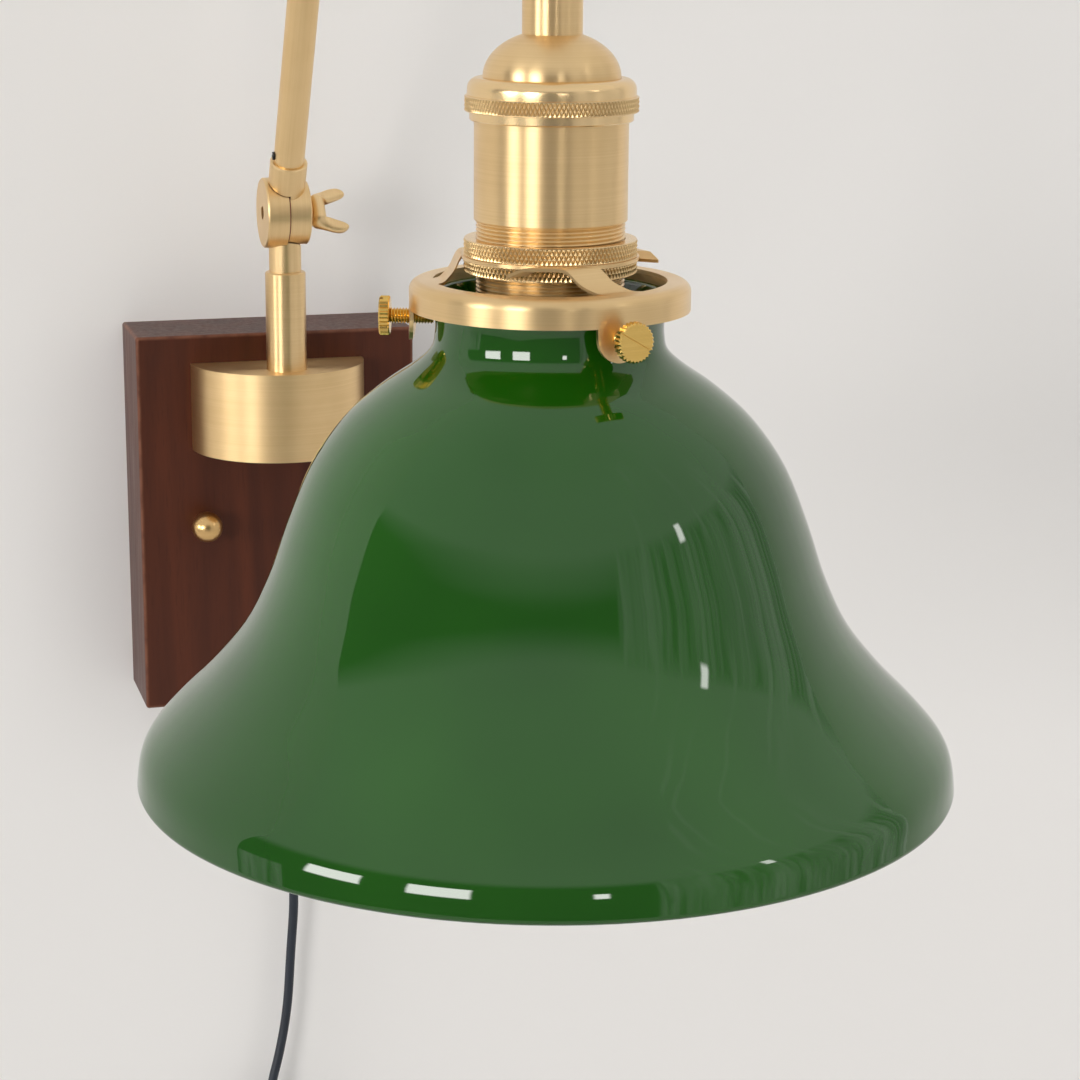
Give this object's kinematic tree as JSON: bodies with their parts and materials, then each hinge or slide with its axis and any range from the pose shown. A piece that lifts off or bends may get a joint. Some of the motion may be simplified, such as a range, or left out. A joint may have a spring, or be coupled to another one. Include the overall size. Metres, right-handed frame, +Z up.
{
  "type": "gooseneck wall sconce",
  "caption": "Wall sconce with a wooden back block, a swivelling and tilting brass gooseneck arm, a threaded lampholder and a green glass bell shade held by thumb screws.",
  "frame": {"origin": "middle of the wall bracket's back face, on the wall plane", "axes": "+X to the right of someone facing the wall, +Y into the wall, +Z up; the light stands out towards -Y"},
  "size_m": [0.2134, 0.5145, 0.87],
  "materials": {
    "walnut": "satin lacquered dark walnut",
    "satin_brass": "satin brushed",
    "polished_brass": "polished",
    "bracket_steel": "zinc plated",
    "screw_steel": "zinc plated",
    "black_steel": "black oxide",
    "fibre": "matt",
    "black_sheath": "matt",
    "cord_sheath": "matt, dark blue-black",
    "porcelain": "glazed",
    "nickel_sleeve": "nickel plated",
    "green_glass": "deep green, glossy",
    "clear_glass": "clear",
    "black_insulator": "black glass",
    "filament": "yellow coated",
    "black_plastic": "moulded",
    "white_plastic": "moulded"
  },
  "bodies": {
    "base": {"wood_backplate": "walnut", "wall_bracket": "bracket_steel", "bracket_studs": "screw_steel", "bracket_locknuts": "screw_steel", "ball_nuts": "polished_brass", "drum_cover": "satin_brass", "drum_screws": "screw_steel", "post_sleeve": "satin_brass", "swivel_set_screw": "screw_steel", "post_washer": "screw_steel", "post_nut": "screw_steel", "cord_grommet": "black_plastic", "supply_lead": "cord_sheath", "cord_clamp": "black_plastic", "cord_clamp_screws": "screw_steel", "terminal_block": "white_plastic", "terminal_screws": "screw_steel", "lead_in_base": "black_sheath", "cord_upper": "cord_sheath", "cord_middle": "cord_sheath", "cord_coil": "cord_sheath", "cord_tail": "cord_sheath", "coil_ties": "black_plastic", "switch_case": "black_plastic", "plug_body": "black_plastic", "plug_blades": "nickel_sleeve"},
    "swivel": {"knuckle_base": "satin_brass", "friction_washer": "fibre"},
    "arm": {"knuckle_arm": "satin_brass", "tube_pin": "black_steel", "gooseneck_tube": "satin_brass", "lead_in_arm": "black_sheath", "tube_coupler": "satin_brass", "coupler_nipple": "satin_brass", "nipple_nut": "satin_brass", "dome_cap": "satin_brass", "collar_ring": "satin_brass", "socket_shell": "satin_brass", "lampholder_core": "porcelain", "core_screws": "screw_steel", "screw_sleeve": "nickel_sleeve", "centre_contact": "polished_brass", "upper_ring_nut": "satin_brass", "lower_ring_nut": "satin_brass", "gallery": "satin_brass", "glass_shade": "green_glass", "bulb_envelope": "clear_glass", "bulb_cap": "nickel_sleeve", "bulb_insulator": "black_insulator", "bulb_tip": "nickel_sleeve", "bulb_stem": "clear_glass", "bulb_filaments": "filament"},
    "wing_screw": {"wing_screw": "satin_brass"},
    "rocker": {"switch_rocker": "black_plastic"},
    "thumb_screw_1": {"thumb_screw_1": "polished_brass"},
    "thumb_screw_2": {"thumb_screw_2": "polished_brass"},
    "thumb_screw_3": {"thumb_screw_3": "polished_brass"}
  },
  "joints": [
    {"name": "post_swivel", "type": "hinge", "parent": "base", "child": "swivel", "pos_m": [0, -0.0582, 0.0701], "axis": [0, 0, 1], "range_deg": [-80, 80]},
    {"name": "arm_tilt", "type": "hinge", "parent": "swivel", "child": "arm", "pos_m": [0, -0.0582, 0.1243], "axis": [1, 0, 0], "range_deg": [-30, 60]},
    {"name": "wing_screw_turn", "type": "hinge", "parent": "swivel", "child": "wing_screw", "pos_m": [0, -0.0582, 0.1243], "axis": [1, 0, 0], "range_deg": [0, 720]},
    {"name": "switch_rock", "type": "hinge", "parent": "base", "child": "rocker", "pos_m": [-0.003, -0.016, -0.295], "axis": [-1, 0, 0], "range_deg": [0, 16]},
    {"name": "thumb_screw_1_turn", "type": "hinge", "parent": "arm", "child": "thumb_screw_1", "pos_m": [0.0075, -0.4425, 0.1398], "axis": [0.2113, -0.9774, 0], "range_deg": [0, 1080]},
    {"name": "thumb_screw_2_turn", "type": "hinge", "parent": "arm", "child": "thumb_screw_2", "pos_m": [0.0263, -0.38395, 0.1398], "axis": [0.7408, 0.6717, 0], "range_deg": [0, 1080]},
    {"name": "thumb_screw_3_turn", "type": "hinge", "parent": "arm", "child": "thumb_screw_3", "pos_m": [-0.0338, -0.39695, 0.1398], "axis": [-0.9521, 0.3057, 0], "range_deg": [0, 1080]}
  ]
}
